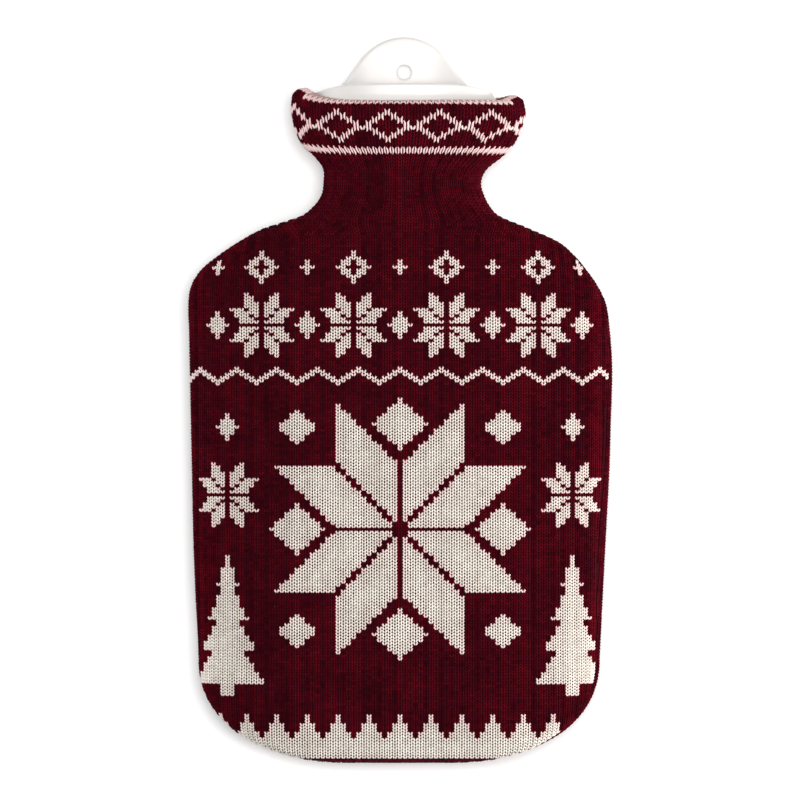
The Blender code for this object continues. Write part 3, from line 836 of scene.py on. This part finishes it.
def stitchPlaces(lines):  # where each stitch of a panel sits, how it faces, its gauge, wale and course
    gauge = knitGauge
    wale = np.arange(-gauge["widest"], gauge["widest"] + 1)
    leftPitch, rightPitch = walePitch(lines)
    points = np.empty((len(heights), len(wale), 3))
    facing = np.empty_like(points)
    inside = np.empty(points.shape[:2], bool)
    pitch = np.empty(points.shape[:2])
    for row in range(len(heights)):
        size = np.where(wale > 0, rightPitch[row], leftPitch[row])
        reach = np.where(wale > 0, lines["right"][row], lines["left"][row])
        places = wale * size
        last = np.where(wale > 0, gauge["seamRight"], gauge["seamLeft"]) * size
        inside[row] = abs(places) <= reach - last + 0.5 * size
        places = np.clip(places, last - reach, reach - last)
        point, normal = readLine(lines, row, places)
        sink = clothWobble(places, heights[row])
        sink = sink + seamDip(reach - abs(places) - gauge["seamBeside"], heights[row])
        points[row] = point + normal * sink[:, None]
        facing[row] = normal
        pitch[row] = size

    def at(grid, spots):  # read between the fine rows
        low = np.clip(np.floor(spots).astype(int), 0, len(grid) - 2)
        t = (spots - low).reshape(-1, *[1] * (grid.ndim - 1))
        return grid[low] * (1 - t) + grid[low + 1] * t

    here = courseAt(0)
    place, normal = at(points, here), at(facing, here)
    rising = at(points, courseAt(0.5)) - at(points, courseAt(-0.5))
    kept = inside[np.clip(np.round(here).astype(int), 0, len(heights) - 1)]
    i, j = np.meshgrid(wale, np.arange(courseCount))
    least, most = gauge["courseLimits"]
    tall = np.clip(np.linalg.norm(rising, axis=-1), least * gauge["course"], most * gauge["course"])
    tall = np.where(rising.any(axis=-1), tall, gauge["course"])
    inCuff = fade(courseHeight, *gauge["cuffStretchIn"])[:, None]
    tall = tall * (1 + gauge["cuffStretch"] * inCuff)
    atRim = 1 - fade(courseHeight, *gauge["rimOut"])[:, None]
    steep = normal[..., 2].copy()
    tilt = 1 - fade(steep, *gauge["flatten"])
    plump = 1 - (1 - stitchShape["flattest"]) * tilt * atRim
    upright = gauge["rimLean"] * atRim * fade(steep, *gauge["lean"])
    normal = normal + upright[..., None] * np.array([0.0, 0.0, 1.0])
    normal /= np.linalg.norm(normal, axis=-1, keepdims=True)
    tall = tall * (1 - upright * (1 - np.clip(steep, gauge["leanLeast"], 1.0)))
    size = np.stack([at(pitch, here), tall, stitchShape["thick"] * plump], axis=-1)
    return {"place": place[kept], "facing": normal[kept], "rising": rising[kept],
            "gauge": size[kept], "wale": i[kept], "course": j[kept]}


def spreadCells(knitted, count):  # a little square of the baked map for each stitch
    across = int(np.ceil(np.sqrt(count)))
    cells = knitted.uv_layers["OFBake"].uv
    spots = np.empty(2 * len(cells), np.float32)
    cells.foreach_get("vector", spots)
    spots = spots.reshape(count, -1, 2)
    number = np.arange(count)
    spots += np.stack([number % across, number // across], axis=-1)[:, None]
    cells.foreach_set("vector", (spots / across).astype(np.float32).ravel())


def knitField(name, stitches, chosen, stitch, yarn, seed):
    data = bpy.data.meshes.new(name + "_points")
    place = stitches["place"][chosen] * mm
    data.from_pydata(place.tolist(), [], [])
    for key, scale in (("facing", 1.0), ("rising", 1.0), ("gauge", mm)):
        addLayer(data, key, "FLOAT_VECTOR", "vector", stitches[key][chosen] * scale)
    for key in ("shade", "tinge", "paintedRollShade"):
        addLayer(data, key, "FLOAT", "value", stitches[key][chosen])
    points = addObject(name + "_points", data)
    modifier = points.modifiers.new("knit", "NODES")
    modifier.node_group = stitchTree
    settings = {"Stitch": stitch, "Sink": stitchShape["thick"] * mm, "Uneven": stitchShape["uneven"],
                "Turn": stitchShape["turn"], "Seed": seed, "Yarn": yarn}
    for key, value in settings.items():
        modifier[stitchInputs[key]] = value
    depsgraph = bpy.context.evaluated_depsgraph_get()
    knitted = bpy.data.meshes.new_from_object(points.evaluated_get(depsgraph), depsgraph=depsgraph)
    knitted.name = name
    for key in ("facing", "rising", "gauge"):
        knitted.attributes.remove(knitted.attributes[key])
    spreadCells(knitted, len(place))
    bpy.data.objects.remove(points)
    print(name, len(place), "stitches,", len(knitted.polygons), "faces")
    return makeObject(name, knitted, yarn)


stitchTree, stitchInputs = buildStitchTree()
fineStitch = makeStitch("fine_stitch", stitchShape["fineLeg"], stitchShape["fineSides"])
plainStitch = makeStitch("plain_stitch", stitchShape["plainLeg"], stitchShape["plainSides"])
cuffStitch = makeStitch("cuff_stitch", stitchShape["cuffLeg"], stitchShape["fineSides"])

panelLook = {
    "seed": 11,
    "shadeSpread": 0.27,  # how stitches differ in shade
    "streakSpread": 0.30,  # and whole wales
    "paintedRollShadeFirst": 0.2,  # painted shade on the first cream course of the rolled edge
    "stitchSeeds": {"front": 7, "back": 47},
    "seedStep": 10,
}
rng = np.random.default_rng(panelLook["seed"])


def makePanel(front):
    side = "front" if front else "back"
    lines = panelLines(front)
    sheet = makeBackingSheet("cover_" + side + "_backing", lines, front)
    stitches = stitchPlaces(lines)
    wale, course = stitches["wale"], stitches["course"]
    widest = knitGauge["widest"]
    streak = rng.normal(0, 1, 2 * widest + 1)[wale + widest]
    shade = rng.normal(0, panelLook["shadeSpread"], len(wale)) + panelLook["streakSpread"] * streak
    stitches["shade"] = np.clip(shade, -1, 1)
    cream, drawn, past = isCream(wale, course, front), cuffChart(wale, course), pastEdge(wale, course)
    stitches["place"] += stitches["facing"] * np.where(drawn, knitGauge["creamProud"], 0.0)[:, None]
    turnedAway = fade(-abs(stitches["facing"][:, 2]), *knitGauge["narrowIn"])
    stitches["gauge"][:, 0] *= 1 - np.where(drawn, knitGauge["cuffNarrow"], 0.0) * turnedAway
    beside = [isCream(wale + a, course + b, front) for a, b in ((1, 0), (-1, 0), (0, 1), (0, -1))]
    stitches["tinge"] = np.where(cream, 1.0 - np.mean(beside, axis=0), 0.0)
    stitches["tinge"][drawn | (past >= 0)] = 1.0
    # painted shade on the rolled edge, darker on each course further in
    stitches["paintedRollShade"] = np.where(past >= 0, np.clip(past + panelLook["paintedRollShadeFirst"], 0.0, 1.0), 0.0)
    stitch = fineStitch if front else plainStitch
    parts = [
        ("_burgundy_left", ~cream & (wale < 0), stitch, burgundyYarn),
        ("_burgundy_right", ~cream & (wale >= 0), stitch, burgundyYarn),
        ("_cream", cream & ~drawn, stitch, creamYarn),
        ("_cuff_chain", drawn, cuffStitch, creamYarn),
    ]
    fields = []
    for name, chosen, shape, yarn in parts:
        seed = panelLook["stitchSeeds"][side] + panelLook["seedStep"] * len(fields)
        fields.append(knitField(side + name, stitches, chosen, shape, yarn, seed))
    return sheet, fields


frontSheet, frontFields = makePanel(True)
backSheet, backFields = makePanel(False)
for spare in (fineStitch, plainStitch, cuffStitch):
    bpy.data.objects.remove(spare)
print("panels knitted")


mouthShape = {
    "centre": 2.0,  # the mouth sits this far to the right
    "start": 296.3,
    "wall": 2.8,
    "power": 2.7,
    "columns": 180,
    "rimEdge": 1.2,
    "wallRows": 18,
    "lipHeight": 322.8,
    "lipDrop": 3.6,
    "tabRadius": 27.0,
    "tabSlope": 1.45,
    "tabFlare": 2.5,
    "holeHeight": 329.2,
    "holeRadius": 3.35,
    "holeRound": 0.5,  # how far its edges are rounded
    "holeRings": 4,
    "holeApron": 1.3,  # width of the even ring round it
    "holePatch": 6.2,  # half-size of the patch of wall it is cut in
    "middle": 22.0,  # the lip is above this, the tab below
    "lipPower": 4,
    "rows": 16,  # up to the rim
    "rimRows": 9,  # over it
    "throatRows": 25,  # and down to the blind end
    "fineTurns": 1441,
    "sharp": 55.0,
}

mouthTable = np.array([  # height, half-width, half-depth
    (283.0, 36.8, 11.8),
    (290.0, 40.2, 12.6),
    (296.0, 44.0, 13.7),
    (302.0, 46.4, 15.2),
    (308.0, 47.0, 16.3),
    (313.0, 45.6, 16.4),
    (317.5, 42.2, 15.8),
])

throatTable = np.array([  # the same down inside, from the rim to the blind end
    (317.5, 39.4, 13.0),
    (311.0, 37.0, 12.4),
    (306.5, 24.0, 11.6),
    (304.0, 13.0, 11.0),
    (299.0, 10.5, 10.5),
])


def mouthRing(height, half, depth, power):
    shape = mouthShape
    turn = np.linspace(0, 2 * np.pi, shape["fineTurns"])
    middle = np.interp(height, coverTable[:, 0], coverTable[:, 5])
    x = shape["centre"] + half * superellipse(turn, power)
    z = middle + depth * superellipse(turn - np.pi / 2, 2.0)
    line = np.stack([x, np.full_like(x, height), z], axis=-1)
    along = np.concatenate([[0], np.cumsum(np.linalg.norm(np.diff(line, axis=0), axis=-1))])
    places = np.linspace(0, along[-1], shape["columns"] + 1)[:-1]
    return np.stack([np.interp(places, along, line[:, k]) for k in range(3)], axis=-1)


def rimHeights(ring):  # low lip in front, the tab rising behind
    shape = mouthShape
    across = abs(ring[:, 0] - shape["centre"])
    aside = np.minimum(across / mouthTable[-1, 1], 1.0)
    lip = shape["lipHeight"] - shape["lipDrop"] * aside ** shape["lipPower"]
    turn = shape["tabRadius"] * shape["tabSlope"] / np.hypot(1.0, shape["tabSlope"])
    near = np.minimum(across, turn)
    tab = coverShape["length"] - (shape["tabRadius"] - np.sqrt(shape["tabRadius"] ** 2 - near ** 2))
    tab = tab - shape["tabSlope"] * (across - near)
    behind = (lip + tab + np.hypot(lip - tab, shape["tabFlare"])) / 2
    return np.where(ring[:, 2] > shape["middle"], lip, behind)


def atHeights(ring, tops):
    moved = ring.copy()
    moved[:, 1] = tops
    return moved


def makeMouth():
    shape = mouthShape
    low = np.linspace(shape["start"], mouthTable[-1, 0], shape["rows"])
    outside = [mouthRing(h, *readTable(mouthTable, np.array([h]))[:, 0], shape["power"]) for h in low]
    outerRim = outside[-1]
    top = mouthTable[-1]
    innerRim = mouthRing(top[0], top[1] - shape["wall"], top[2] - shape["wall"], shape["power"])
    tops = rimHeights(outerRim)
    share = np.linspace(0, 1, shape["wallRows"] + 1)[1:]
    rises = [top[0] + (tops - shape["rimEdge"] - top[0]) * t for t in share]
    firstWall = len(outside)
    outside += [atHeights(outerRim, rise) for rise in rises]
    rim = []
    for turn in np.linspace(0, np.pi, shape["rimRows"])[1:-1]:
        across = (outerRim + innerRim) / 2 + np.cos(turn) * (outerRim - innerRim) / 2
        rim.append(atHeights(across, tops - shape["rimEdge"] * (1 - np.sin(turn))))
    inside = [atHeights(innerRim, rise) for rise in reversed(rises)] + [innerRim]
    lastWall = len(outside) + len(rim)
    steps = np.linspace(0, len(throatTable) - 1, shape["throatRows"])[1:]
    knots = np.arange(len(throatTable), dtype=float)[:, None]
    height, half, depth = readTable(np.hstack([knots, throatTable]), steps)
    powers = np.linspace(shape["power"], 2.0, len(steps))
    throat = [mouthRing(*row) for row in zip(height, half, depth, powers)]
    down = np.array([0.0, -coverShape["length"] / 2, 0.0])
    grid = [ring + down for ring in outside + rim + inside + throat]
    mesh = bmesh.new()
    rows = meshFromGrid(mesh, grid, closed=True)
    mesh.faces.new(rows[0])
    mesh.faces.new(rows[-1])
    openTabHole(mesh, rows, firstWall, lastWall, outerRim, innerRim)
    return finishMesh(mesh, "bottle_mouth", rubber, shape["sharp"])


# a patch of the tab makes way for rings round its hole
def openTabHole(mesh, rows, firstWall, lastWall, outerRim, innerRim):
    shape = mouthShape
    patch = shape["holePatch"]
    middle = Vector((shape["centre"], shape["holeHeight"] - coverShape["length"] / 2)) * mm
    columns = [k for k, p in enumerate(outerRim)
               if p[2] < shape["middle"] and abs(p[0] - shape["centre"]) < patch]
    first, last = min(columns), max(columns)
    wallRows = shape["wallRows"]
    column = (first + last) // 2
    near = [k for k in range(wallRows) if abs(rows[firstWall + k][column].co.y - middle.y) < patch * mm]
    low, high = min(near), max(near)
    walls = []
    sides = [(lambda k: rows[firstWall + k], outerRim, 1),
             (lambda k: rows[lastWall + wallRows - 1 - k], innerRim, -1)]
    for rowOf, rim, inwards in sides:
        spots = [(low, c) for c in range(first, last)] + [(r, last) for r in range(low, high)]
        spots += [(high, c) for c in range(last, first, -1)] + [(r, first) for r in range(high, low, -1)]
        edge = [rowOf(r)[c] for r, c in spots]
        inner = {rowOf(r)[c] for r in range(low, high + 1) for c in range(first, last + 1)}
        for face in [f for f in mesh.faces if all(v in inner for v in f.verts)]:
            mesh.faces.remove(face)
        for vert in inner - set(edge):
            mesh.verts.remove(vert)
        order = np.argsort(rim[first:last + 1, 0])
        x, z = rim[first:last + 1, 0][order] * mm, rim[first:last + 1, 2][order] * mm
        walls.append((edge, lambda at, x=x, z=z: float(np.interp(at, x, z)), inwards))
    angles = [np.arctan2(a.co.y + b.co.y - 2 * middle.y, a.co.x + b.co.x - 2 * middle.x)
              for a, b in zip(walls[0][0], walls[1][0])]
    ends = []
    rounding = [(shape["holeRound"] * (1 - np.sin(t)), shape["holeRound"] * (1 - np.cos(t)))
                for t in np.linspace(0, np.pi / 2, shape["holeRings"])]
    for edge, wallAt, inwards in walls:
        before = edge
        for out, deep in [(shape["holeApron"], 0.0)] + rounding:
            loop = []
            for angle in angles:
                radius = (shape["holeRadius"] + out) * mm
                x, y = middle.x + radius * np.cos(angle), middle.y + radius * np.sin(angle)
                loop.append(mesh.verts.new((x, y, wallAt(x) + inwards * deep * mm)))
            bridge(mesh, before, loop, closed=True)
            before = loop
        ends.append(before)
    bridge(mesh, *ends, closed=True)


mouth = makeMouth()
print("mouth and tab made:", len(mouth.data.polygons), "faces")


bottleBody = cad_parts["bottle_body"]
for place in bottleBody.material_slots:
    place.material = rubber


clothCut = {  # each panel before it is pulled on: width and length in metres
    "front": (0.208, 0.322),
    "back": (0.218, 0.324),
    "stretch": 1.04,  # of its area, once the bottle is in it
}


def panelArea(sheet):  # one face of a sheet, in square metres
    return sum(face.area for face in sheet.data.polygons) / 2


for side, sheet, fields in (("front", frontSheet, frontFields), ("back", backSheet, backFields)):
    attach(sheet, body)
    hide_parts("cover_" + side)
    for field in fields:
        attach(field, body)
    panelArea(sheet) / clothCut["stretch"]
    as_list(fields)
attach(mouth, body)
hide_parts("bottle_collar")


studio = {
    "floorColour": (0.96, 0.96, 0.96),
    "floorGlow": 0.14,  # the sweep is lit from below as well, as for a cut-out
    "floorRoughness": 0.9,
    "floorShine": 0.1,
    "floorSize": 6.0,
    "floorDrop": -0.0004,  # just under the cover
    "worldStrength": 0.24,
    "lights": [  # name, place, size, power, colour
        ("left softbox", (-1.30, 0.35, 1.10), 0.9, 8.0, (1.0, 0.99, 0.97)),
        ("right softbox", (1.50, -0.30, 0.45), 0.7, 28.0, (1.0, 0.97, 0.94)),
        ("top softbox", (0.10, 0.20, 2.40), 1.0, 36.0, (1.0, 1.0, 1.0)),
    ],
    "cameraHeight": 3.2,
    "focusHeight": 0.020,
    "frameWidth": 0.380,  # what the picture's width takes in at the focus height
    "sensor": 36.0,
    "farthest": 20.0,
}


def makeFloor():
    material, tree, shader = newMaterial("pale floor")
    feed(tree, shader, {
        "Base Color": (*studio["floorColour"], 1.0),
        "Roughness": studio["floorRoughness"],
        "Specular IOR Level": studio["floorShine"],
        "Emission Color": (1.0, 1.0, 1.0, 1.0),
        "Emission Strength": studio["floorGlow"],
    })
    mesh = bmesh.new()
    bmesh.ops.create_grid(mesh, x_segments=1, y_segments=1, size=studio["floorSize"])
    bmesh.ops.translate(mesh, verts=mesh.verts, vec=(0.0, 0.0, studio["floorDrop"]))
    data = bpy.data.meshes.new("floor")
    mesh.to_mesh(data)
    mesh.free()
    floor = makeObject("floor", data, material)


def makeLights():
    for name, place, size, power, colour in studio["lights"]:
        data = bpy.data.lights.new(name, "AREA")
        data.shape = "DISK"
        data.size = size
        data.energy = power
        data.color = colour
        light = addObject(name, data)
        light.location = place
        light.rotation_euler = (-Vector(place)).to_track_quat("-Z", "Y").to_euler()
    world = bpy.data.worlds.new("studio")
    world.use_nodes = True
    sky = {"Color": (1.0, 1.0, 1.0, 1.0), "Strength": studio["worldStrength"]}
    feed(world.node_tree, world.node_tree.nodes["Background"], sky)
    bpy.context.scene.world = world


def makeCamera():
    data = bpy.data.cameras.new("camera")
    data.sensor_width = studio["sensor"]
    data.lens = studio["sensor"] * (studio["cameraHeight"] - studio["focusHeight"]) / studio["frameWidth"]
    data.clip_end = studio["farthest"]
    camera = addObject("camera", data)
    camera.location = (0.0, 0.0, studio["cameraHeight"])
    bpy.context.scene.camera = camera


makeFloor()
makeLights()
makeCamera()
bpy.context.scene.view_settings.view_transform = "Standard"
print("studio set")
